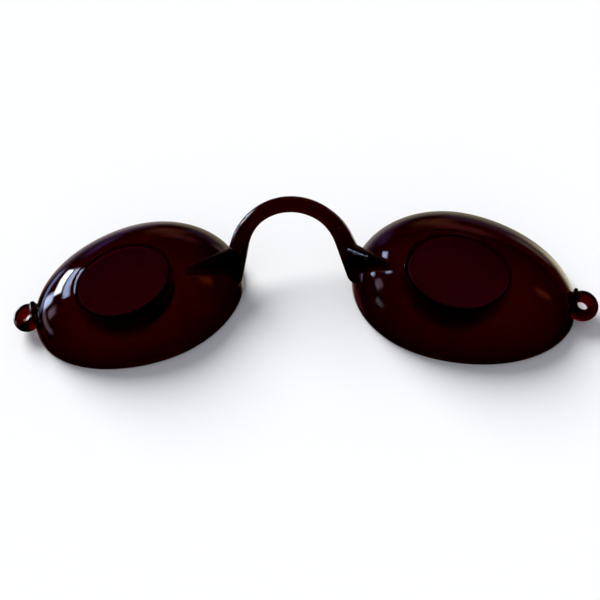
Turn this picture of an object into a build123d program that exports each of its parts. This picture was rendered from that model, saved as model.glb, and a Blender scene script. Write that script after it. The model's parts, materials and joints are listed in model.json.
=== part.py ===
from build123d import *
import os
from math import cos, radians, sin, sqrt

# Tanning goggles: two domed eye cups of dark translucent plastic, each with an oval filter lens set in its
# top, joined by a springy nose band, with a ring for an elastic at each outer end.
# The rims lie on z = 0 and the domes face +Z. +Y is the brow side. Left and right are as seen from the front.
# Lengths are in millimetres and angles in degrees. Each right-hand piece is drawn, then mirrored.

MM = 1.0

# Eye cup: half lengths of the egg shape, measured from the place of its highest point
cup_nose_length = 22.9 * MM
cup_outer_length = 27.1 * MM
cup_brow_width = 17.9 * MM
cup_cheek_width = 17.1 * MM
cup_height = 16.8 * MM
cup_wall = 1.5 * MM
cup_droop_angle = 17.4
rim_bevel = 0.35 * MM

# Lens: an oval cap that lies on a ledge in the top of the dome. A wider oval collar stiffens the dome inside.
lens_half_length = 11.2 * MM
lens_half_width = 8.1 * MM
lens_shift_out = 2.5 * MM
lens_shift_cheek = 2.6 * MM
lens_thickness = 0.9 * MM
lens_rise = 0.1 * MM
lens_seam = 0.1 * MM
lens_bed_gap = 0.05 * MM
ledge_width = 0.8 * MM
collar_half_length = 12.6 * MM
collar_half_width = 9.7 * MM
collar_shift_cheek = 0.8 * MM
collar_depth = 1.8 * MM

# Nose band: a crown arc and two straight legs in a plane that leans back over the nose
arch_radius = 12.4 * MM
arch_half_angle = 71.0
arch_lean_angle = 48.8
crown_half_angle = 40.0
leg_length = 8.4 * MM
band_thickness = 3.5 * MM
band_foot_thickness = 4.2 * MM
band_corner_share = 0.42

# Bridge root: the last stretch of the leg, which runs into the dome's nose wall, and the wedge that spreads
# from it up the dome
root_leg_length = 7.9 * MM
root_end_height = 4.9 * MM
root_sink = 1.0 * MM
root_shift_cheek = 3.6 * MM
wedge_base_length = 7.4 * MM
wedge_base_from_end = 0.2 * MM
wedge_middle_share = 0.5
wedge_middle_drop = 0.5 * MM
wedge_middle_width = 4.2 * MM
wedge_middle_thickness = 2.6 * MM
wedge_tip_from_lens = 2.7 * MM
wedge_tip_shift_cheek = 1.9 * MM
wedge_tip_thickness = 1.4 * MM
wedge_tip_sink = 0.2 * MM
leg_end_bevel = 0.8 * MM
leg_end_width = 5.2 * MM

# Strap eyelet: a thick ring with a wide-mouthed hole, on a short square stem on the outer wall of the cup
eyelet_hole_radius = 1.05 * MM
eyelet_ring_radius = 3.4 * MM
eyelet_thickness = 3.4 * MM
eyelet_height = 3.8 * MM
eyelet_reach = 1.8 * MM
eyelet_shift_brow = 2.1 * MM
eyelet_droop_angle = 12.0
eyelet_ring_round = 1.3 * MM
eyelet_hole_round = 0.9 * MM
stem_width = 5.8 * MM
stem_height = 4.0 * MM
stem_round = 0.8 * MM

# Cuts run this far past what they cut
overrun = 2.0 * MM


# Dome surfaces

def half_dome(inset):
    """Closed half egg, open face down on z = 0, drawn in by inset from the cup's outside."""
    eighth = Sphere(1) & Box(1, 1, 1, align=(Align.MIN, Align.MIN, Align.MIN))
    height = cup_height - inset
    dome = Part()
    for length, along in ((cup_outer_length, 1), (cup_nose_length, -1)):
        for width, across in ((cup_brow_width, 1), (cup_cheek_width, -1)):
            piece = scale(eighth, by=(length - inset, width - inset, height))
            if along < 0:
                piece = mirror(piece, about=Plane.YZ)
            if across < 0:
                piece = mirror(piece, about=Plane.XZ)
            dome += piece
    return dome


def egg_outline(inset):
    """The dome's outline on its rim plane, drawn in by inset."""
    nose, outer = cup_nose_length - inset, cup_outer_length - inset
    brow, cheek = cup_brow_width - inset, cup_cheek_width - inset
    quarters = ((outer, brow), (nose, brow), (nose, cheek), (outer, cheek))
    arcs = [
        EllipticalCenterArc((0, 0), length, width, start_angle=90 * quarter, arc_size=90)
        for quarter, (length, width) in enumerate(quarters)
    ]
    return make_face(Wire(arcs))


def rim_cone(low_inset, high_inset):
    """Flared plug over the rim plane, used to bevel an edge of the rim."""
    return loft([egg_outline(low_inset), Location((0, 0, 2 * rim_bevel)) * egg_outline(high_inset)], ruled=True)


def wall_reach(length, width, across, height):
    """How far out the dome's outside lies along its length, at a place across it and a height."""
    return length * sqrt(1 - (across / width) ** 2 - (height / cup_height) ** 2)


def dome_height(length, width, along, across):
    """Height of the dome's outside over a place in its plan."""
    return cup_height * sqrt(1 - (along / length) ** 2 - (across / width) ** 2)


outside = half_dome(0)

# Places of the pieces in the cup's own plan: x runs out along the cup, y to the brow

lens_place = Location((lens_shift_out, -lens_shift_cheek, 0))
root_end_x = root_sink - wall_reach(cup_nose_length, cup_cheek_width, root_shift_cheek, root_end_height)
root_end = Vector(root_end_x, -root_shift_cheek, root_end_height)
wedge_tip_x = lens_shift_out - lens_half_length - wedge_tip_from_lens
wedge_tip_y = -lens_shift_cheek - wedge_tip_shift_cheek
wedge_tip_z = dome_height(cup_nose_length, cup_cheek_width, wedge_tip_x, wedge_tip_y) - wedge_tip_sink
eyelet_wall_x = wall_reach(cup_outer_length, cup_brow_width, eyelet_shift_brow, eyelet_height)
eyelet_place = Location(
    (eyelet_wall_x + eyelet_reach, eyelet_shift_brow, eyelet_height), (0, eyelet_droop_angle, 0)
)


# The arch in the goggles' plan: x to the right, y to the brow, with the leg's end at y = 0

lean = Vector(0, cos(radians(arch_lean_angle)), sin(radians(arch_lean_angle)))
arch_normal = Vector(1, 0, 0).cross(lean)
half_angle = radians(arch_half_angle)
leg_end_x = arch_radius * sin(half_angle) + leg_length * cos(half_angle)
leg_drop = leg_length * sin(half_angle)
leg_direction = Vector(cos(half_angle), 0, 0) - lean * sin(half_angle)


def arc_point(angle):
    """Point of the band's centre line on the crown arc, at an angle from its highest point."""
    height = arch_radius * (cos(radians(angle)) - cos(half_angle)) + leg_drop
    return Vector(arch_radius * sin(radians(angle)), 0, root_end_height) + lean * height


def arc_direction(angle):
    """Direction of the band on the crown arc, towards its foot."""
    return Vector(cos(radians(angle)), 0, 0) - lean * sin(radians(angle))


def leg_point(from_end):
    """Point of the leg's centre line, at a distance from its end."""
    return Vector(leg_end_x, 0, root_end_height) - leg_direction * from_end


def band_section(place, direction, thickness, width):
    """Rounded square or oblong across the band. Its width lies in the plane of the arch."""
    across = Plane(origin=place, x_dir=arch_normal, z_dir=direction)
    return across * RectangleRounded(thickness, width, thickness * band_corner_share)


def leg_section(from_end, thickness, width):
    return band_section(leg_point(from_end), leg_direction, thickness, width)


# The cup's plan is turned and set so that the root's end meets the leg's end

turn = radians(-cup_droop_angle)
cup_x = leg_end_x - (root_end.X * cos(turn) - root_end.Y * sin(turn))
cup_y = -(root_end.X * sin(turn) + root_end.Y * cos(turn))
cup_place = Location((cup_x, cup_y, 0), (0, 0, -cup_droop_angle))


# Eye cup and lens

def eye_cup():
    """Thin dome with a bevelled flat rim, an oval window with a ledge round it, and a collar inside."""
    tall = cup_height + overrun
    window = extrude(Ellipse(lens_half_length - ledge_width, lens_half_width - ledge_width), tall)
    seat = extrude(Ellipse(lens_half_length, lens_half_width), tall) - lens_place.inverse() * half_dome(
        lens_thickness
    )
    collar = lens_place * Location((0, -collar_shift_cheek)) * extrude(
        Ellipse(collar_half_length, collar_half_width), tall
    )
    hollow = half_dome(cup_wall) - (collar - half_dome(cup_wall + collar_depth))
    cup = outside - hollow - lens_place * window - lens_place * seat
    trim = extrude(egg_outline(-overrun), 2 * rim_bevel) - rim_cone(rim_bevel, -rim_bevel)
    return cup - trim - rim_cone(cup_wall - rim_bevel, cup_wall + rim_bevel)


def lens():
    """Oval cap with the dome's own curve, a little proud of it."""
    tall = cup_height + overrun
    outline = extrude(Ellipse(lens_half_length - lens_seam, lens_half_width - lens_seam), tall)
    cap = half_dome(-lens_rise) - half_dome(lens_thickness - lens_bed_gap)
    cap = cap & (lens_place * outline)
    return cap


# Bridge

def bridge_crown():
    path = ThreePointArc(arc_point(-crown_half_angle), arc_point(0), arc_point(crown_half_angle))
    start = arc_point(-crown_half_angle)
    return sweep(band_section(start, arc_direction(-crown_half_angle), band_thickness, band_thickness), path)


def bridge_arm():
    """The band from the crown to the root, a little thicker towards the foot."""
    turned = arch_half_angle - crown_half_angle
    straight = leg_length - root_leg_length
    whole = arch_radius * radians(turned) + straight
    sections = []
    steps = 4
    for step in range(steps + 1):
        angle = crown_half_angle + turned * step / steps
        share = arch_radius * radians(angle - crown_half_angle) / whole
        thickness = band_thickness + (band_foot_thickness - band_thickness) * share
        sections.append(band_section(arc_point(angle), arc_direction(angle), thickness, thickness))
    sections.append(leg_section(root_leg_length, band_foot_thickness, band_foot_thickness))
    return loft(sections)


def wedge_section(width, thickness):
    """Rounded rectangle across the wedge."""
    return RectangleRounded(width, thickness, thickness * band_corner_share)


def bridge_root():
    """The widening foot of the leg and the wedge that runs from it up the dome, cut to the dome's curve."""
    leg = loft([
        leg_section(root_leg_length, band_foot_thickness, band_foot_thickness),
        leg_section(leg_end_bevel, band_foot_thickness, leg_end_width),
        leg_section(0, band_foot_thickness - leg_end_bevel, leg_end_width - leg_end_bevel),
    ], ruled=True)
    tip = (cup_place * Location((wedge_tip_x, wedge_tip_y, wedge_tip_z))).position
    base = leg_point(wedge_base_from_end + wedge_base_length / 2)
    between = base + (tip - base) * wedge_middle_share + leg_direction * wedge_middle_drop
    over = (cup_place.inverse() * Location(between)).position
    over_z = dome_height(cup_nose_length, cup_cheek_width, over.X, over.Y)
    middle_place = (cup_place * Location((over.X, over.Y, over_z))).position
    run = (tip - base).normalized()
    side = leg_direction.cross(run).normalized()
    wide = Plane(origin=base, x_dir=leg_direction, z_dir=side.cross(leg_direction))
    cross = Plane(origin=middle_place, x_dir=run.cross(side), z_dir=run)
    narrow = Plane(origin=tip, x_dir=cross.x_dir, z_dir=run)
    wedge = loft([
        wide * wedge_section(wedge_base_length, band_foot_thickness),
        cross * wedge_section(wedge_middle_width, wedge_middle_thickness),
        narrow * wedge_section(wedge_tip_thickness, wedge_tip_thickness),
    ])
    return leg + wedge - cup_place * outside


# Strap eyelet, drawn about the middle of its hole

def strap_eyelet():
    section = Location((eyelet_hole_radius, 0)) * Rectangle(
        eyelet_ring_radius - eyelet_hole_radius, eyelet_thickness, align=(Align.MIN, Align.CENTER)
    )
    section = fillet(section.vertices().group_by(Axis.X)[-1], eyelet_ring_round)
    section = fillet(section.vertices().group_by(Axis.X)[0], eyelet_hole_round)
    ring = revolve(Plane.XZ * section, Axis.Z)
    stem = Box(
        eyelet_reach + overrun, stem_width, stem_height, align=(Align.MAX, Align.CENTER, Align.CENTER)
    )
    stem = fillet(stem.edges().filter_by(Axis.X), stem_round)
    body = ring + Location((-eyelet_hole_radius - eyelet_hole_round, 0, 0)) * stem
    return eyelet_place * body - outside


# All the pieces, with the origin at the middle of the box that they stand in

pieces = {"bridge_crown": bridge_crown()}
right = {
    "eye_cup": cup_place * eye_cup(),
    "lens": cup_place * lens(),
    "bridge_root": bridge_root(),
    "bridge_arm": bridge_arm(),
    "strap_eyelet": cup_place * strap_eyelet(),
}
for name, shape in right.items():
    pieces["right_" + name] = shape
    pieces["left_" + name] = mirror(shape, about=Plane.YZ)

box = Compound(children=[Compound(shape.solids()) for shape in pieces.values()]).bounding_box()
middle = Location((0, -(box.min.Y + box.max.Y) / 2, 0))

os.makedirs("parts", exist_ok=True)
for name, shape in pieces.items():
    export_step(Compound(children=(middle * shape).solids()), f"parts/{name}.step")
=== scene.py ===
import json
import math

import bmesh
import bpy
from mathutils import Matrix, Vector
from mathutils.bvhtree import BVHTree
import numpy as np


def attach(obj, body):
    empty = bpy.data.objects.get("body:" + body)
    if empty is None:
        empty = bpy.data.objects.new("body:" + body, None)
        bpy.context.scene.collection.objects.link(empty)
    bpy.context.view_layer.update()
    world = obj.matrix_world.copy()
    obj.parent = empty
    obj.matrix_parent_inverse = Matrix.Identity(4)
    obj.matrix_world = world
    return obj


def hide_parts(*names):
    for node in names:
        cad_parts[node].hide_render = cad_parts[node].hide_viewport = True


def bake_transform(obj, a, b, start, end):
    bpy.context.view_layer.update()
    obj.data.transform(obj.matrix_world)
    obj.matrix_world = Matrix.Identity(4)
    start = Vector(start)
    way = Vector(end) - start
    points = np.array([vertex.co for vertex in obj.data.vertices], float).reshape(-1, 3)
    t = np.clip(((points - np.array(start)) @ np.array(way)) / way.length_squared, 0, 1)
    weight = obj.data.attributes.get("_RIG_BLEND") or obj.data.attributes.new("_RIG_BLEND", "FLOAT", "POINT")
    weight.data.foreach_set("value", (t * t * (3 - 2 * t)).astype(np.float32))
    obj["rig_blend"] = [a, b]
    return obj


# Tanning goggles: two domed eye cups of dark burgundy see-through plastic, an oval filter lens in each,
# and a springy nose band, all polished. +Z is the way the domes face and +Y is the brow side.
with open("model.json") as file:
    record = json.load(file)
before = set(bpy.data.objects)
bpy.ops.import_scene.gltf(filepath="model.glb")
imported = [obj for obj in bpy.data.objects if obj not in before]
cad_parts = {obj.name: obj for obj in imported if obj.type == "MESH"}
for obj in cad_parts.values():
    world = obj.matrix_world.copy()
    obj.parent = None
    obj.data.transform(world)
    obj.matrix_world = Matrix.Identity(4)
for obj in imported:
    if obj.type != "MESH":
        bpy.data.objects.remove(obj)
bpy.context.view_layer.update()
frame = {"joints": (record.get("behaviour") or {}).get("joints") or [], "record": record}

MM = 0.001


# Eye cups
# Each cup is a thin egg-shaped dome, injection moulded in dark burgundy polycarbonate and polished in the
# tool. Its rim is rounded for the skin, and an oval seat in its top, stiffened by a collar inside, holds the
# filter lens.

CUP_NOSE_LENGTH = 22.9 * MM
CUP_OUTER_LENGTH = 27.1 * MM
CUP_BROW_WIDTH = 17.9 * MM
CUP_CHEEK_WIDTH = 17.1 * MM
CUP_HEIGHT = 16.8 * MM
CUP_WALL = 1.5 * MM
CUP_DROOP = math.radians(17.4)
EGG_CHANGE = 2.6
EGG_SEARCH_STEPS = 40
RIM_ROUND = 0.45 * MM
LENS_HALF_LENGTH = 11.2 * MM
LENS_HALF_WIDTH = 8.1 * MM
LENS_SHIFT_OUT = 2.5 * MM
LENS_SHIFT_CHEEK = 2.6 * MM
LENS_THICKNESS = 0.9 * MM
LENS_RISE = 0.03 * MM
# The lens is welded in, so its edge sits a hair inside the wall of its seat
LENS_WELD = 0.02 * MM
LENS_BED_GAP = 0.05 * MM
LEDGE_WIDTH = 0.3 * MM
# The collar is a rounded ridge inside, deepest on the cheek side and nearly flat on the brow side
COLLAR_HALF_LENGTH = 12.6 * MM
COLLAR_HALF_WIDTH = 10.6 * MM
COLLAR_SHIFT_CHEEK = 1.8 * MM
COLLAR_BROW_DEPTH = 0.2 * MM
COLLAR_CHEEK_DEPTH = 3.2 * MM
COLLAR_EVENNESS = 3
COLLAR_LEAN = 0.8
COLLAR_SOFTNESS = 1.6
COLLAR_STEPS = 20
SEAT_ROUND = 0.06 * MM
ROUND_SEGMENTS = 3
RIM_SEGMENTS = 4
CUP_SIDES = 160
CUP_RINGS = 30
POLISH_WAVE_LENGTH = 6 * MM
POLISH_WAVE_DEPTH = 0.02 * MM
FINGER_HAZE_SIZE = 3 * MM


def linear(hex_colour):
    """sRGB hex to the linear colour that a shader socket takes."""
    values = [int(hex_colour[i:i + 2], 16) / 255 for i in (1, 3, 5)]
    return [v / 12.92 if v <= 0.04045 else ((v + 0.055) / 1.055) ** 2.4 for v in values] + [1.0]


def node(holder, kind, links=None, **settings):
    """Adds a shader node. Settings name its sockets or its own properties, and links name sockets to join."""
    made = holder.node_tree.nodes.new(kind)
    for name, value in settings.items():
        socket = made.inputs.get(name.replace("_", " "))
        if socket is None:
            setattr(made, name, value)
        else:
            socket.default_value = value
    for name, source in (links or {}).items():
        holder.node_tree.links.new(source, made.inputs[name])
    return made


def new_material(name):
    material = bpy.data.materials.new(name)
    material.use_nodes = True
    material.node_tree.nodes.clear()
    return material


def egg_half(share, long_side, short_side):
    """Distance along one axis of the egg for a share of -1 to 1: its two ends differ and blend smoothly."""
    middle = (long_side + short_side) / 2
    lean = (long_side - short_side) / 2
    return share * (middle + lean * math.tanh(EGG_CHANGE * share) / math.tanh(EGG_CHANGE))


def egg_point(direction, inset):
    """Point of the dome for a direction of the unit half sphere, drawn in by inset from the outside."""
    return Vector((
        egg_half(direction.x, CUP_OUTER_LENGTH - inset, CUP_NOSE_LENGTH - inset),
        egg_half(direction.y, CUP_BROW_WIDTH - inset, CUP_CHEEK_WIDTH - inset),
        direction.z * (CUP_HEIGHT - inset),
    ))


def egg_direction(x, y):
    """Direction of the unit half sphere that egg_point puts over a place in the cup's plan."""
    across, along = 0.0, 0.0
    for step in range(EGG_SEARCH_STEPS):
        along += (x - egg_half(along, CUP_OUTER_LENGTH, CUP_NOSE_LENGTH)) / CUP_OUTER_LENGTH
        across += (y - egg_half(across, CUP_BROW_WIDTH, CUP_CHEEK_WIDTH)) / CUP_BROW_WIDTH
    return Vector((along, across, math.sqrt(1 - along ** 2 - across ** 2)))


def oval_direction(angle, half_length, half_width, shift_cheek):
    """Direction of the unit half sphere for a point of an oval in the dome's top."""
    x = LENS_SHIFT_OUT + half_length * math.cos(angle)
    y = -LENS_SHIFT_CHEEK - shift_cheek + half_width * math.sin(angle)
    return egg_direction(x, y)


def seat_direction(angle, share):
    """Direction on the way from the window's edge, at 0, to the outer edge of the collar, at 1."""
    window_length, window_width = LENS_HALF_LENGTH - LEDGE_WIDTH, LENS_HALF_WIDTH - LEDGE_WIDTH
    half_length = window_length + (COLLAR_HALF_LENGTH - window_length) * share
    half_width = window_width + (COLLAR_HALF_WIDTH - window_width) * share
    return oval_direction(angle, half_length, half_width, COLLAR_SHIFT_CHEEK * share)


def first_ring(mesh, sides):
    """A circle of edges whose vertices keep their angle in a layer, as does every ring extruded from it."""
    layer = mesh.verts.layers.float.new("angle")
    made = bmesh.ops.create_circle(mesh, segments=sides, radius=1.0)["verts"]
    for vertex in made:
        vertex[layer] = math.atan2(vertex.co.y, vertex.co.x)
    return list({edge for vertex in made for edge in vertex.link_edges})


def next_ring(mesh, ring, places):
    """Extrudes a closed ring of edges and puts each new vertex where its angle says."""
    made = bmesh.ops.extrude_edge_only(mesh, edges=ring)["geom"]
    ring = [e for e in made if isinstance(e, bmesh.types.BMEdge)]
    return place_ring(mesh, ring, places)


def place_ring(mesh, ring, places):
    layer = mesh.verts.layers.float["angle"]
    for vertex in {v for edge in ring for v in edge.verts}:
        vertex.co = places(vertex[layer])
    return ring


def close_ring(mesh, ring, middle):
    """Closes a hole by drawing a last ring together in one point."""
    ring = next_ring(mesh, ring, lambda angle: middle)
    bmesh.ops.pointmerge(mesh, verts=list({v for edge in ring for v in edge.verts}), merge_co=middle)


def finish_mesh(mesh, name):
    """Turns a bmesh into an object with outward, smooth faces."""
    bmesh.ops.recalc_face_normals(mesh, faces=mesh.faces)
    for face in mesh.faces:
        face.smooth = True
    data = bpy.data.meshes.new(name)
    mesh.to_mesh(data)
    mesh.free()
    made = bpy.data.objects.new(name, data)
    bpy.context.scene.collection.objects.link(made)
    return made


def on_side(mesh, side):
    """Leaves a right-hand mesh, in the frame, as it is, or mirrors it for the left."""
    if side == "left":
        bmesh.ops.scale(mesh, vec=(-1, 1, 1), verts=mesh.verts)


def cup_mesh():
    """The moulded shell: outside skin, lens seat, ledge, collar, inside skin, and rounded edges."""
    mesh = bmesh.new()

    def seat(lens_inset, depth):
        return lambda angle: egg_point(
            oval_direction(angle, LENS_HALF_LENGTH - lens_inset, LENS_HALF_WIDTH - lens_inset, 0), depth
        )

    def outside(share):
        """Ring of the outside skin, from the rim at 0 to the seat's edge at 1."""
        return lambda angle: egg_point(
            Vector((math.cos(angle), math.sin(angle), 0)).slerp(
                oval_direction(angle, LENS_HALF_LENGTH, LENS_HALF_WIDTH, 0), share
            ), 0
        )

    def inside(share):
        """Ring of the inside skin, from the rim at 0 to the collar's outer edge at 1."""
        return lambda angle: egg_point(
            Vector((math.cos(angle), math.sin(angle), 0)).slerp(seat_direction(angle, 1), share), CUP_WALL
        )

    def collar(share):
        """Ring of the collar's rounded ridge, from the window's edge at 0 to its outer edge at 1."""
        def place(angle):
            towards_cheek = ((1 - math.sin(angle)) / 2) ** COLLAR_EVENNESS
            deepest = COLLAR_BROW_DEPTH + (COLLAR_CHEEK_DEPTH - COLLAR_BROW_DEPTH) * towards_cheek
            swell = math.sin(math.pi * share ** COLLAR_LEAN) ** COLLAR_SOFTNESS if 0 < share < 1 else 0
            return egg_point(seat_direction(angle, share), CUP_WALL + deepest * swell)
        return place

    ring = place_ring(mesh, first_ring(mesh, CUP_SIDES), outside(0))
    rim_outer = ring
    for step in range(1, CUP_RINGS + 1):
        ring = next_ring(mesh, ring, outside(step / CUP_RINGS))
    seat_edge = ring
    ring = next_ring(mesh, ring, seat(0, LENS_THICKNESS))
    ring = next_ring(mesh, ring, seat(LEDGE_WIDTH, LENS_THICKNESS))
    for step in range(COLLAR_STEPS + 1):
        ring = next_ring(mesh, ring, collar(step / COLLAR_STEPS))
    for step in range(CUP_RINGS - 1, -1, -1):
        ring = next_ring(mesh, ring, inside(step / CUP_RINGS))
    bmesh.ops.bridge_loops(mesh, edges=rim_outer + ring)
    bmesh.ops.bevel(
        mesh, geom=rim_outer + ring, offset=RIM_ROUND, segments=RIM_SEGMENTS, profile=0.5, affect="EDGES",
        material=-1,
    )
    bmesh.ops.bevel(
        mesh, geom=[e for e in seat_edge if e.is_valid], offset=SEAT_ROUND, segments=ROUND_SEGMENTS,
        profile=0.5, affect="EDGES", material=-1,
    )
    return mesh


def mount_place(name):
    """Where the record puts one of its mounts, in the frame."""
    return Vector(next(m["pos_m"] for m in frame["record"]["mounts"] if m["name"] == name))


# The record's rim mount is in the middle of the rim's flat at the cup's outer end
cup_turn = Matrix.Rotation(-CUP_DROOP, 4, "Z")
cup_centre = mount_place("right_rim") - cup_turn @ Vector((CUP_OUTER_LENGTH - CUP_WALL / 2, 0, 0))
cup_matrix = Matrix.Translation(cup_centre) @ cup_turn


def polycarbonate(name, red, green, blue, roughness):
    """Polished, deep-dyed polycarbonate: clear at its skin, and it drinks light by depth.

    Red, green and blue are how much of each it drinks in a millimetre.
    """
    material = new_material(name)
    place = node(material, "ShaderNodeTexCoord").outputs["Object"]
    # Slow waves of the mould's polish, which bend the reflections a little
    waves = node(material, "ShaderNodeTexNoise", {"Vector": place}, Scale=1 / POLISH_WAVE_LENGTH, Detail=1.0)
    bump = node(
        material, "ShaderNodeBump", {"Height": waves.outputs["Fac"]}, Strength=0.15,
        Distance=POLISH_WAVE_DEPTH,
    )
    # Faint finger haze, which makes the gloss a little uneven
    haze = node(material, "ShaderNodeTexNoise", {"Vector": place}, Scale=1 / FINGER_HAZE_SIZE, Detail=4.0)
    rough = node(
        material, "ShaderNodeMapRange", {"Value": haze.outputs["Fac"]},
        From_Min=0.35, From_Max=0.75, To_Min=roughness, To_Max=roughness * 2.5,
    )
    shader = node(
        material, "ShaderNodeBsdfPrincipled",
        {"Normal": bump.outputs["Normal"], "Roughness": rough.outputs["Result"]},
        Base_Color=linear("#F4E4E4"), Transmission_Weight=1.0, IOR=1.5,
    )
    most = max(red, green, blue)
    depth = node(
        material, "ShaderNodeVolumeAbsorption",
        Color=(1 - red / most, 1 - green / most, 1 - blue / most, 1), Density=most / MM,
    )
    node(
        material, "ShaderNodeOutputMaterial",
        {"Surface": shader.outputs["BSDF"], "Volume": depth.outputs["Volume"]},
    )
    return material


burgundy = polycarbonate("burgundy_polycarbonate", red=1.06, green=3.4, blue=2.8, roughness=0.03)

for side in ("left", "right"):
    mesh = cup_mesh()
    bmesh.ops.transform(mesh, matrix=cup_matrix, verts=mesh.verts)
    on_side(mesh, side)
    cup = finish_mesh(mesh, f"{side}_cup_shell")
    cup.data.materials.append(burgundy)
    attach(cup, f"{side}_eyepiece")
    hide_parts(f"{side}_eye_cup")


# Filter lenses
# An oval cap of darker, slightly violet filter plastic, welded into the seat. It stands a hair proud of
# the dome, and its top edge is rounded over.

LENS_EDGE_ROUND = 0.06 * MM
LENS_RINGS = 14

filter_plastic = polycarbonate("violet_filter_polycarbonate", red=2.1, green=3.6, blue=2.5, roughness=0.02)


def lens_mesh():
    mesh = bmesh.new()

    def cap(share, depth):
        """Ring of the lens's oval, drawn together by share about its middle."""
        def place(angle):
            half_length = (LENS_HALF_LENGTH + LENS_WELD) * (1 - share)
            half_width = (LENS_HALF_WIDTH + LENS_WELD) * (1 - share)
            x = LENS_SHIFT_OUT + half_length * math.cos(angle)
            y = -LENS_SHIFT_CHEEK + half_width * math.sin(angle)
            return egg_point(egg_direction(x, y), depth)
        return place

    ring = place_ring(mesh, first_ring(mesh, CUP_SIDES), cap(0, -LENS_RISE))
    top_edge = ring
    for step in range(1, LENS_RINGS):
        ring = next_ring(mesh, ring, cap(step / LENS_RINGS, -LENS_RISE))
    close_ring(mesh, ring, cap(1, -LENS_RISE)(0))
    bed = LENS_THICKNESS - LENS_BED_GAP
    ring = top_edge
    for step in range(LENS_RINGS):
        ring = next_ring(mesh, ring, cap(step / LENS_RINGS, bed))
    close_ring(mesh, ring, cap(1, bed)(0))
    bmesh.ops.bevel(
        mesh, geom=top_edge, offset=LENS_EDGE_ROUND, segments=ROUND_SEGMENTS, profile=0.5, affect="EDGES",
        material=-1,
    )
    return mesh


for side in ("left", "right"):
    mesh = lens_mesh()
    bmesh.ops.transform(mesh, matrix=cup_matrix, verts=mesh.verts)
    on_side(mesh, side)
    lens = finish_mesh(mesh, f"{side}_filter_lens")
    lens.data.materials.append(filter_plastic)
    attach(lens, f"{side}_eyepiece")
    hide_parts(f"{side}_lens")


# Nose band
# One springy length of the same plastic, with a rounded square section that thickens towards the feet. The
# crown stays as it is, and each side bends at the shoulder and twists at the ankle, above the foot.

ARCH_RADIUS = 12.4 * MM
ARCH_HALF_ANGLE = math.radians(71)
ARCH_LEAN = math.radians(48.8)
CROWN_HALF_ANGLE = math.radians(40)
LEG_LENGTH = 8.4 * MM
BAND_THICKNESS = 3.5 * MM
BAND_FOOT_THICKNESS = 4.2 * MM
LEG_END_WIDTH = 5.2 * MM
BAND_SQUARENESS = 2.5
BAND_SIDES = 64
BAND_STEP = 0.4 * MM
LEG_TAIL_LENGTH = 3.0 * MM
LEG_TAIL_DRAW = 2.2 * MM

joint_places = {j["name"]: Vector(j["pos_m"]) for j in frame["joints"]}
shoulder = joint_places["right_nose_flex"]
arch_lean = Vector((0, math.cos(ARCH_LEAN), math.sin(ARCH_LEAN)))
arch_normal = Vector((1, 0, 0)).cross(arch_lean)
arch_centre = shoulder - ARCH_RADIUS * (
    Vector((math.sin(CROWN_HALF_ANGLE), 0, 0)) + arch_lean * math.cos(CROWN_HALF_ANGLE)
)
arc_length = ARCH_RADIUS * ARCH_HALF_ANGLE
shoulder_run = ARCH_RADIUS * CROWN_HALF_ANGLE
ankle_run = arc_length + (joint_places["right_wrap_flex"] - arch_centre - ARCH_RADIUS * (
    Vector((math.sin(ARCH_HALF_ANGLE), 0, 0)) + arch_lean * math.cos(ARCH_HALF_ANGLE)
)).length
band_end = arc_length + LEG_LENGTH


def band_place(run):
    """Centre line and direction of the band at a distance from its highest point, down the right side."""
    angle = max(-ARCH_HALF_ANGLE, min(ARCH_HALF_ANGLE, run / ARCH_RADIUS))
    direction = Vector((math.cos(angle), 0, 0)) - arch_lean * math.sin(angle)
    point = arch_centre + ARCH_RADIUS * (Vector((math.sin(angle), 0, 0)) + arch_lean * math.cos(angle))
    return point + direction * (run - angle * ARCH_RADIUS), direction


def band_thickness(run):
    share = max(0, min(1, (abs(run) - shoulder_run) / (ankle_run - shoulder_run)))
    return BAND_THICKNESS + (BAND_FOOT_THICKNESS - BAND_THICKNESS) * share


def squircle(angle, squareness):
    """Point of a rounded square of half side 1 at an angle."""
    reach = (abs(math.cos(angle)) ** squareness + abs(math.sin(angle)) ** squareness) ** (-1 / squareness)
    return reach * math.cos(angle), reach * math.sin(angle)


def section(run):
    """Ring across the band. Below the ankle it widens in the plane of the arch."""
    point, direction = band_place(run)
    half = band_thickness(run) / 2
    share = max(0, min(1, (abs(run) - ankle_run) / (band_end - ankle_run)))
    half_width = half + share * (LEG_END_WIDTH - BAND_FOOT_THICKNESS) / 2
    # Past its end the leg is drawn aside into the cup's wall
    tail = max(0, (abs(run) - band_end) / LEG_TAIL_LENGTH)
    angle_there = math.copysign(ARCH_HALF_ANGLE, run)
    outwards = Vector((math.sin(angle_there), 0, 0)) + arch_lean * math.cos(angle_there)
    point = point + LEG_TAIL_DRAW * tail ** 2 * outwards

    def place(angle):
        x, y = squircle(angle, BAND_SQUARENESS)
        return point + half * x * arch_normal + half_width * y * direction.cross(arch_normal)
    return place


def band_mesh():
    """The whole band, closed at both feet."""
    mesh = bmesh.new()
    whole = band_end + LEG_TAIL_LENGTH
    steps = round(whole / BAND_STEP)
    first = place_ring(mesh, first_ring(mesh, BAND_SIDES), section(-whole))
    ring = first
    for step in range(1 - steps, steps + 1):
        ring = next_ring(mesh, ring, section(whole * step / steps))
    for last in (first, ring):
        corners = {v for edge in last for v in edge.verts}
        close_ring(mesh, last, sum((v.co for v in corners), Vector()) / len(corners))
    return mesh


# Bridge feet, and the band's five lengths
# The leg runs into the cup's nose wall, and a wedge spreads from it up the dome towards the lens, with soft
# fillets. It is all one moulding, made as one skin and then cut square across into crown, shoulders and feet.

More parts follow.
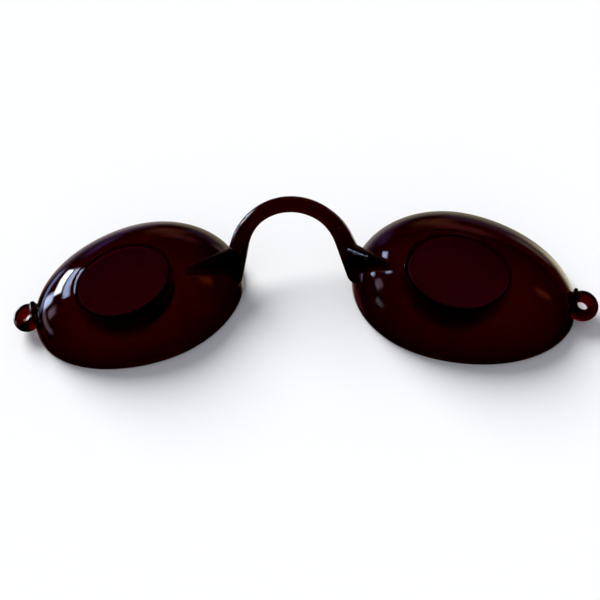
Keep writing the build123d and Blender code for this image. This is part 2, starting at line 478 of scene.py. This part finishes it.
WEDGE_BASE_LENGTH = 7.4 * MM
WEDGE_BASE_FROM_END = 0.2 * MM
WEDGE_MIDDLE_DROP = 1.0 * MM
WEDGE_MIDDLE_WIDTH = 4.9 * MM
WEDGE_MIDDLE_THICKNESS = 2.6 * MM
WEDGE_TIP_FROM_LENS = 2.7 * MM
WEDGE_TIP_SHIFT_CHEEK = 2.5 * MM
WEDGE_TIP_WIDTH = 2.2 * MM
WEDGE_TIP_THICKNESS = 1.4 * MM
WEDGE_TIP_SINK = 0.2 * MM
WEDGE_SQUARENESS = 3.0
WEDGE_STEPS = 16
# How far the foot runs into the cup's wall, and how near the table it comes
FOOT_DEPTH = 0.12 * MM
FOOT_LOWEST = 1.0 * MM
FOOT_VOXEL = 0.16 * MM
FOOT_SMOOTHING = 30
# The fillets are drawn against a stretch of dome at the nose: its depth, its end along the cup, and a spare
# length that is cut off again
FILLET_DEPTH = 0.04 * MM
FILLET_REACH = -7.0 * MM
FILLET_SPARE = 2.0 * MM
# Each shoulder bends over this length to both sides of its joint
BEND_HALF_LENGTH = 2.4 * MM
# Where the twist of the ankle starts below the arm's middle, and where it ends below the joint
ANKLE_START = 0.2 * MM
ANKLE_END = 0.3 * MM
# Each shoulder reaches this far into the crown's and the foot's lengths
CUT_OVERLAP = 0.02 * MM
# Name of the mark on faces that lie inside one moulding
CUT_MARK = "inner_cut"


def trim(mesh, place, way):
    """Cuts a closed mesh across, keeps what lies that way, closes the cut and gives its edges and faces."""
    everything = mesh.verts[:] + mesh.edges[:] + mesh.faces[:]
    made = bmesh.ops.bisect_plane(mesh, geom=everything, plane_co=place, plane_no=way, clear_inner=True)
    edges = [e for e in made["geom_cut"] if isinstance(e, bmesh.types.BMEdge)]
    return edges, bmesh.ops.edgeloop_fill(mesh, edges=edges)["faces"]


def solid_from(mesh, name):
    """A temporary object for the modifiers that follow."""
    made = finish_mesh(mesh, name)
    made.hide_render = True
    return made


def apply_modifiers(made):
    """Keeps what the modifiers made of an object as its own mesh."""
    bpy.context.view_layer.update()
    shaped = bpy.data.meshes.new_from_object(made.evaluated_get(bpy.context.evaluated_depsgraph_get()))
    made.modifiers.clear()
    made.data = shaped
    for face in shaped.polygons:
        face.use_smooth = True


def cut_away(made, cutter):
    change = made.modifiers.new("cut", "BOOLEAN")
    change.solver = "EXACT"
    change.operation = "DIFFERENCE"
    change.object = cutter
    apply_modifiers(made)


def dome_solid(inset, side, only_from=None):
    """The space inside the dome as a closed solid in the frame, or only its nose end, up to a place."""
    mesh = bmesh.new()

    def dome(height):
        reach = math.sqrt(max(0, 1 - height ** 2))
        return lambda angle: egg_point(
            Vector((reach * math.cos(angle), reach * math.sin(angle), height)), inset
        )

    ring = place_ring(mesh, first_ring(mesh, CUP_SIDES), dome(0))
    rim = ring
    for step in range(1, CUP_RINGS):
        ring = next_ring(mesh, ring, dome(math.sin(math.pi / 2 * step / CUP_RINGS)))
    close_ring(mesh, ring, Vector((0, 0, CUP_HEIGHT - inset)))
    close_ring(mesh, rim, Vector((0, 0, 0)))
    if only_from is not None:
        trim(mesh, Vector((only_from, 0, 0)), Vector((-1, 0, 0)))
    bmesh.ops.transform(mesh, matrix=cup_matrix, verts=mesh.verts)
    on_side(mesh, side)
    return solid_from(mesh, "dome")


def remove(*objects):
    for each in objects:
        bpy.data.objects.remove(each)


def as_piece(made, name, side, material, body, slot_name, *nodes):
    """Mirrors a right-hand object if need be, and makes it a piece that rides on a body."""
    made.name = name
    made.hide_render = False
    if side == "left":
        mesh = bmesh.new()
        mesh.from_mesh(made.data)
        bmesh.ops.scale(mesh, vec=(-1, 1, 1), verts=mesh.verts)
        bmesh.ops.reverse_faces(mesh, faces=mesh.faces)
        mesh.to_mesh(made.data)
        mesh.free()
    made.data.materials.clear()
    made.data.materials.append(material)
    if body:
        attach(made, body)
    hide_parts(*nodes)
    return made


def wedge_mesh():
    """The wedge from the leg's centre line over the dome to its tip."""
    tip_x = LENS_SHIFT_OUT - LENS_HALF_LENGTH - WEDGE_TIP_FROM_LENS
    tip_y = -LENS_SHIFT_CHEEK - WEDGE_TIP_SHIFT_CHEEK
    tip = cup_matrix @ egg_point(egg_direction(tip_x, tip_y), WEDGE_TIP_SINK)
    base, leg_direction = band_place(band_end - WEDGE_BASE_FROM_END - WEDGE_BASE_LENGTH / 2)
    between = cup_matrix.inverted() @ ((base + tip) / 2 + leg_direction * WEDGE_MIDDLE_DROP)
    middle = cup_matrix @ egg_point(egg_direction(between.x, between.y), 0)
    run = (tip - base).normalized()
    side_way = leg_direction.cross(run).normalized()
    long_way = run.cross(side_way)

    def through(share, start, halfway, finish):
        """Smooth curve through three values."""
        return (
            start * (1 - share) * (1 - 2 * share) + halfway * 4 * share * (1 - share)
            + finish * share * (2 * share - 1)
        )

    def across(share):
        centre = through(share, base, middle, tip)
        width = through(share, WEDGE_BASE_LENGTH, WEDGE_MIDDLE_WIDTH, WEDGE_TIP_WIDTH) / 2
        thick = through(share, BAND_FOOT_THICKNESS, WEDGE_MIDDLE_THICKNESS, WEDGE_TIP_THICKNESS) / 2
        way = leg_direction.lerp(long_way, min(1, 2 * share))

        def place(angle):
            x, y = squircle(angle, WEDGE_SQUARENESS)
            return centre + x * width * way.normalized() + y * thick * side_way
        return place

    mesh = bmesh.new()
    ring = place_ring(mesh, first_ring(mesh, BAND_SIDES), across(0))
    first = ring
    for step in range(1, WEDGE_STEPS + 1):
        ring = next_ring(mesh, ring, across(step / WEDGE_STEPS))
    close_ring(mesh, ring, tip)
    close_ring(mesh, first, base)
    return mesh


def remesh(made, voxel, smoothing):
    """Turns overlapping closed shells into one skin and rounds its corners and hollows."""
    change = made.modifiers.new("skin", "REMESH")
    change.mode = "VOXEL"
    change.voxel_size = voxel
    change.use_smooth_shade = True
    soften = made.modifiers.new("soften", "SMOOTH")
    soften.factor = 0.5
    soften.iterations = smoothing
    apply_modifiers(made)


def join(one, other):
    """Joins two closed shells into the first object, without merging their skins."""
    mesh = bmesh.new()
    for each in (one, other):
        mesh.from_mesh(each.data)
    mesh.to_mesh(one.data)
    mesh.free()
    remove(other)
    return one


def band_and_feet():
    """The band with a wedge at each foot, filleted to the domes that it is moulded onto, in one soft skin."""
    band = solid_from(band_mesh(), "band")
    for side in ("left", "right"):
        wedge = wedge_mesh()
        on_side(wedge, side)
        band = join(band, solid_from(wedge, "wedge"))
        band = join(band, dome_solid(FILLET_DEPTH, side, FILLET_REACH + FILLET_SPARE))
    remesh(band, FOOT_VOXEL, FOOT_SMOOTHING)
    for side in ("left", "right"):
        deep = dome_solid(FOOT_DEPTH, side)
        cut_away(band, deep)
        remove(deep)
    return band


def length_of(band, start, end):
    """What lies between two cuts square across the band.

    From a start on the right side, the left side is left out too. An end of None keeps the foot. Faces
    inside the moulding are marked.
    """
    mesh = bmesh.new()
    mesh.from_mesh(band.data)
    marks = mesh.faces.layers.float.new(CUT_MARK)
    if start > 0:
        trim(mesh, Vector(), Vector((1, 0, 0)))
    for run, way in ((start, 1), (end, -1)):
        if run is None:
            continue
        place, direction = band_place(run)
        edges, faces = trim(mesh, place, way * direction)
        for face in faces:
            face[marks] = 1.0
        for edge in edges:
            edge.smooth = False
    if end is None:
        trim_foot(mesh, marks)
    return finish_mesh(mesh, "length_of_band")


def trim_foot(mesh, marks):
    """Keeps the foot's own stretch of the dome and marks the faces that the cup's wall hides."""
    trim(mesh, cup_matrix @ Vector((FILLET_REACH, 0, 0)), cup_matrix.to_3x3() @ Vector((-1, 0, 0)))
    trim(mesh, Vector((0, 0, FOOT_LOWEST)), Vector((0, 0, 1)))
    dome = dome_solid(0, "right")
    skin = BVHTree.FromObject(dome, bpy.context.evaluated_depsgraph_get())
    remove(dome)
    for face in mesh.faces:
        middle = face.calc_center_median()
        near, normal = skin.find_nearest(middle)[:2]
        if (middle - near).dot(normal) < 0:
            face[marks] = 1.0


def mirrored(point, side):
    return Vector((-point.x, point.y, point.z)) if side == "left" else point


# The band is thicker than the cups' walls and seen against the light, so its dye is matched by itself
band_burgundy = polycarbonate(
    "burgundy_polycarbonate_band", red=1.25, green=3.4, blue=2.8, roughness=0.03
)
# The marked faces lie inside one moulding, so they don't show
cuts = node(band_burgundy, "ShaderNodeAttribute", attribute_name=CUT_MARK)
solid = node(band_burgundy, "ShaderNodeMath", {1: cuts.outputs["Fac"]}, operation="SUBTRACT")
solid.inputs[0].default_value = 1.0
band_shader = next(n for n in band_burgundy.node_tree.nodes if n.type == "BSDF_PRINCIPLED")
band_burgundy.node_tree.links.new(solid.outputs[0], band_shader.inputs["Alpha"])

crown_end = shoulder_run - BEND_HALF_LENGTH - BAND_STEP
arm_middle = (shoulder_run + ankle_run) / 2
band = band_and_feet()
crown = length_of(band, -crown_end, crown_end)
as_piece(crown, "nose_band_crown", "right", band_burgundy, "bridge", "burgundy_plastic", "bridge_crown")
for side in ("left", "right"):
    upper = length_of(band, crown_end - CUT_OVERLAP, arm_middle + CUT_OVERLAP)
    as_piece(
        upper, f"{side}_band_shoulder", side, band_burgundy, None, "burgundy_plastic",
        f"{side}_bridge_arm",
    )
    start = band_place(shoulder_run - BEND_HALF_LENGTH)[0]
    end = band_place(shoulder_run + BEND_HALF_LENGTH)[0]
    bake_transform(upper, "bridge", f"{side}_arm", mirrored(start, side), mirrored(end, side))
    foot = length_of(band, arm_middle, None)
    as_piece(
        foot, f"{side}_band_foot", side, band_burgundy, None, "burgundy_plastic",
        f"{side}_bridge_arm", f"{side}_bridge_root",
    )
    start = band_place(arm_middle + ANKLE_START)[0]
    end = band_place(ankle_run + ANKLE_END)[0]
    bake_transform(foot, f"{side}_arm", f"{side}_eyepiece", mirrored(start, side), mirrored(end, side))
remove(band)


# Strap eyelets
# A thick bead-like ring on a short square stem at the cup's outer end, moulded with it, for tying on an
# elastic.

EYELET_HOLE_RADIUS = 1.05 * MM
EYELET_RING_RADIUS = 3.4 * MM
EYELET_THICKNESS = 3.4 * MM
EYELET_REACH = 1.8 * MM
EYELET_DROOP = math.radians(12)
STEM_WIDTH = 5.8 * MM
STEM_HEIGHT = 4.0 * MM
EYELET_HOLE_ROUND = 0.9 * MM
STEM_SINK = 0.9 * MM
RING_SQUARENESS = 2
RING_SIDES = 40
RING_STEPS = 72
STEM_SQUARENESS = 6
STEM_SIDES = 48
EYELET_VOXEL = 0.08 * MM
EYELET_SMOOTHING = 14

eyelet_matrix = (
    Matrix.Translation(mount_place("right_eyelet_hole")) @ cup_turn @ Matrix.Rotation(EYELET_DROOP, 4, "Y")
)


def ring_mesh():
    """The ring, spun from an oval section about the hole's axis."""
    mesh = bmesh.new()
    middle = (EYELET_RING_RADIUS + EYELET_HOLE_RADIUS) / 2
    half = (EYELET_RING_RADIUS - EYELET_HOLE_RADIUS) / 2
    section_ring = place_ring(mesh, first_ring(mesh, RING_SIDES), lambda angle: Vector((
        middle + half * squircle(angle, RING_SQUARENESS)[0],
        0,
        EYELET_THICKNESS / 2 * squircle(angle, RING_SQUARENESS)[1],
    )))
    bmesh.ops.spin(
        mesh, geom=section_ring + list({v for e in section_ring for v in e.verts}), cent=(0, 0, 0),
        axis=(0, 0, 1), angle=2 * math.pi, steps=RING_STEPS, use_merge=True,
    )
    return mesh


def stem_mesh():
    """The square stem, from inside the wall of the cup to the ring."""
    mesh = bmesh.new()
    inner = -EYELET_REACH - STEM_SINK
    outer = -EYELET_HOLE_RADIUS - EYELET_HOLE_ROUND

    def across(x):
        def place(angle):
            a, b = squircle(angle, STEM_SQUARENESS)
            return Vector((x, a * STEM_WIDTH / 2, b * STEM_HEIGHT / 2))
        return place

    first = place_ring(mesh, first_ring(mesh, STEM_SIDES), across(inner))
    ring = next_ring(mesh, first, across(outer))
    close_ring(mesh, ring, Vector((outer, 0, 0)))
    close_ring(mesh, first, Vector((inner, 0, 0)))
    return mesh


for side in ("left", "right"):
    eyelet = join(solid_from(ring_mesh(), "ring"), solid_from(stem_mesh(), "stem"))
    remesh(eyelet, EYELET_VOXEL, EYELET_SMOOTHING)
    eyelet.data.transform(eyelet_matrix)
    as_piece(
        eyelet, f"{side}_strap_ring", side, burgundy, f"{side}_eyepiece", "burgundy_plastic",
        f"{side}_strap_eyelet",
    )


# Floor, light and camera
# A plain white table, a soft key from the far left that throws the shadow to the near right, and a dim room
# with one tall window on the left, which is what the polished plastic mirrors.

FLOOR_SIZE = 3.0
KEY_STRENGTH = 3.6
KEY_SPREAD = math.radians(38)
KEY_AZIMUTH = math.radians(-35)
KEY_HEIGHT = math.radians(39)
AMBIENT_STRENGTH = 0.42
GLOW_STRENGTH = 5.0
GLOW_SHARPNESS = 6
CAMERA_AZIMUTH = math.radians(19.19)
CAMERA_HEIGHT = math.radians(59.46)
CAMERA_ROLL = math.radians(18.02)
CAMERA_DISTANCE = 237.9 * MM
CAMERA_AIM = Vector((0.75 * MM, -1.31 * MM, 0))
CAMERA_LENS_MM = 62.83
# The Mix node's two colour inputs and its colour output
COLOUR_A = 6
COLOUR_B = 7
COLOUR_RESULT = 2

floor_mesh = bmesh.new()
bmesh.ops.create_grid(floor_mesh, x_segments=1, y_segments=1, size=FLOOR_SIZE)
floor = finish_mesh(floor_mesh, "floor")
white = new_material("white_table")
matt = node(white, "ShaderNodeBsdfPrincipled", Base_Color=linear("#F6F6F6"), Roughness=0.9)
node(white, "ShaderNodeOutputMaterial", {"Surface": matt.outputs["BSDF"]})
floor.data.materials.append(white)
floor.visible_glossy = False

key_data = bpy.data.lights.new("key", "SUN")
key_data.energy = KEY_STRENGTH
key_data.angle = KEY_SPREAD
key = bpy.data.objects.new("key", key_data)
towards = Vector((
    math.sin(KEY_AZIMUTH) * math.cos(KEY_HEIGHT),
    math.cos(KEY_AZIMUTH) * math.cos(KEY_HEIGHT),
    math.sin(KEY_HEIGHT),
))
key.rotation_mode = "QUATERNION"
key.rotation_quaternion = towards.to_track_quat("Z", "Y")
key.visible_glossy = False
key.visible_transmission = False
bpy.context.scene.collection.objects.link(key)

world = bpy.data.worlds.new("room")
bpy.context.scene.world = world
world.use_nodes = True
world.node_tree.nodes.clear()
path = node(world, "ShaderNodeLightPath")
direction = node(world, "ShaderNodeTexCoord").outputs["Generated"]
split = node(world, "ShaderNodeSeparateXYZ", {"Vector": direction})


def math_node(operation, *inputs):
    made = node(world, "ShaderNodeMath", operation=operation)
    for i, value in enumerate(inputs):
        if isinstance(value, (int, float)):
            made.inputs[i].default_value = value
        else:
            world.node_tree.links.new(value, made.inputs[i])
    return made.outputs[0]


azimuth = math_node("ARCTAN2", split.outputs["X"], split.outputs["Y"])
height = math_node("ARCSINE", split.outputs["Z"])


def card(middle_azimuth, middle_height, half_width, half_height, slope, soft):
    """Soft-edged oblong of 1 in the room, in degrees of azimuth from +Y towards +X and of height.

    It rises by slope degrees for each degree further to the left.
    """
    across = math_node("SUBTRACT", azimuth, math.radians(middle_azimuth))
    sloped = math_node("ADD", height, math_node("MULTIPLY", across, slope))
    sides = []
    for value, middle, half in ((azimuth, middle_azimuth, half_width), (sloped, middle_height, half_height)):
        off = math_node("ABSOLUTE", math_node("SUBTRACT", value, math.radians(middle)))
        edge = node(world, "ShaderNodeMapRange", {"Value": off}, interpolation_type="SMOOTHSTEP")
        edge.inputs["From Min"].default_value = math.radians(half - soft)
        edge.inputs["From Max"].default_value = math.radians(half + soft)
        edge.inputs["To Min"].default_value = 1.0
        edge.inputs["To Max"].default_value = 0.0
        sides.append(edge.outputs["Result"])
    return math_node("MULTIPLY", *sides)


def tinted(mask, hex_colour, strength):
    colour = node(world, "ShaderNodeMix", {"Factor": mask}, data_type="RGBA")
    colour.inputs[COLOUR_A].default_value = (0, 0, 0, 1)
    colour.inputs[COLOUR_B].default_value = [strength * v for v in linear(hex_colour)[:3]] + [1]
    return colour.outputs[COLOUR_RESULT]


def add_colours(one, other):
    made = node(world, "ShaderNodeMix", data_type="RGBA", blend_type="ADD")
    made.inputs[0].default_value = 1.0
    world.node_tree.links.new(one, made.inputs[COLOUR_A])
    world.node_tree.links.new(other, made.inputs[COLOUR_B])
    return made.outputs[COLOUR_RESULT]


# Azimuth, height, half width and half height in degrees, slope, softness in degrees, colour and strength
CARDS = (
    (-62, 10.6, 10.5, 4.6, 0.36, 1.5, "#F0F5FF", 18.0),
    (-67, 23.2, 16, 3.4, 0.38, 1.5, "#BFD6FF", 9.5),
    (-73.5, 1, 5.5, 8, 0, 2.5, "#C8DAFF", 9.0),
    (-62, -11.5, 12, 4, -0.2, 3, "#98A8DC", 2.6),
    (-91, 10, 5, 6, 0, 3, "#CDB8D0", 2.2),
    (-95, -5.5, 15, 3.5, 0, 3, "#B0A8B8", 1.6),
    (0, -45, 50, 22, 0, 10, "#8C8270", 1.5),
    (36, -40, 12, 14, 0, 8, "#B0A890", 2.4),
    (-34, -28, 16, 16, 0, 8, "#5A4A68", 1.5),
    (-35, -2, 6, 5, 0.5, 4, "#5C4890", 1.0),
    (-6, 2, 9, 7, 0, 6, "#8A5038", 1.0),
    (7, 12, 12, 5, 0, 5, "#904448", 1.0),
    (32, -12, 8, 5, 0.2, 4, "#6E6058", 2.2),
    (14, -14, 14, 8, 0, 6, "#4A4058", 0.8),
    (-62, -44, 20, 8, 0, 6, "#6A2A38", 1.0),
    (85, 26, 5, 8, 0.5, 4, "#F07030", 0.7),
)
room = None
for *oblong, colour, strength in CARDS:
    shine = tinted(card(*oblong), colour, strength)
    room = add_colours(room, shine) if room else shine
in_the_gloss = node(world, "ShaderNodeBackground", {"Color": room}, Strength=1.0)
ambient = node(world, "ShaderNodeBackground", Color=linear("#F4F6FF"), Strength=AMBIENT_STRENGTH)
# Light that comes through the plastic: the room's, and a broad soft glow from where the key stands
facing = node(world, "ShaderNodeVectorMath", {0: direction}, operation="DOT_PRODUCT")
facing.inputs[1].default_value = towards
lobe = math_node("POWER", math_node("MAXIMUM", facing.outputs["Value"], 0.0), GLOW_SHARPNESS)
strength = math_node("ADD", math_node("MULTIPLY", lobe, GLOW_STRENGTH), AMBIENT_STRENGTH)
through = node(world, "ShaderNodeBackground", {"Strength": strength}, Color=linear("#FFFFFF"))
# A ray that a rough skin bends counts as glossy too, so light that comes through is sorted out last
reflected = node(
    world, "ShaderNodeMixShader",
    {"Fac": path.outputs["Is Glossy Ray"], 1: ambient.outputs[0], 2: in_the_gloss.outputs[0]},
)
chosen = node(
    world, "ShaderNodeMixShader",
    {"Fac": path.outputs["Is Transmission Ray"], 1: reflected.outputs[0], 2: through.outputs[0]},
)
node(world, "ShaderNodeOutputWorld", {"Surface": chosen.outputs[0]})

back = Vector((
    math.sin(CAMERA_AZIMUTH) * math.cos(CAMERA_HEIGHT),
    -math.cos(CAMERA_AZIMUTH) * math.cos(CAMERA_HEIGHT),
    math.sin(CAMERA_HEIGHT),
))
level = Vector((math.cos(CAMERA_AZIMUTH), math.sin(CAMERA_AZIMUTH), 0))
upright = back.cross(level)
camera_right = level * math.cos(CAMERA_ROLL) - upright * math.sin(CAMERA_ROLL)
camera_up = level * math.sin(CAMERA_ROLL) + upright * math.cos(CAMERA_ROLL)
camera_data = bpy.data.cameras.new("camera")
camera_data.lens = CAMERA_LENS_MM
camera_data.clip_start = 10 * MM
camera = bpy.data.objects.new("camera", camera_data)
camera.matrix_world = Matrix.Translation(CAMERA_AIM + back * CAMERA_DISTANCE) @ Matrix((
    camera_right, camera_up, back
)).transposed().to_4x4()
bpy.context.scene.collection.objects.link(camera)
bpy.context.scene.camera = camera
bpy.context.scene.view_settings.view_transform = "Standard"
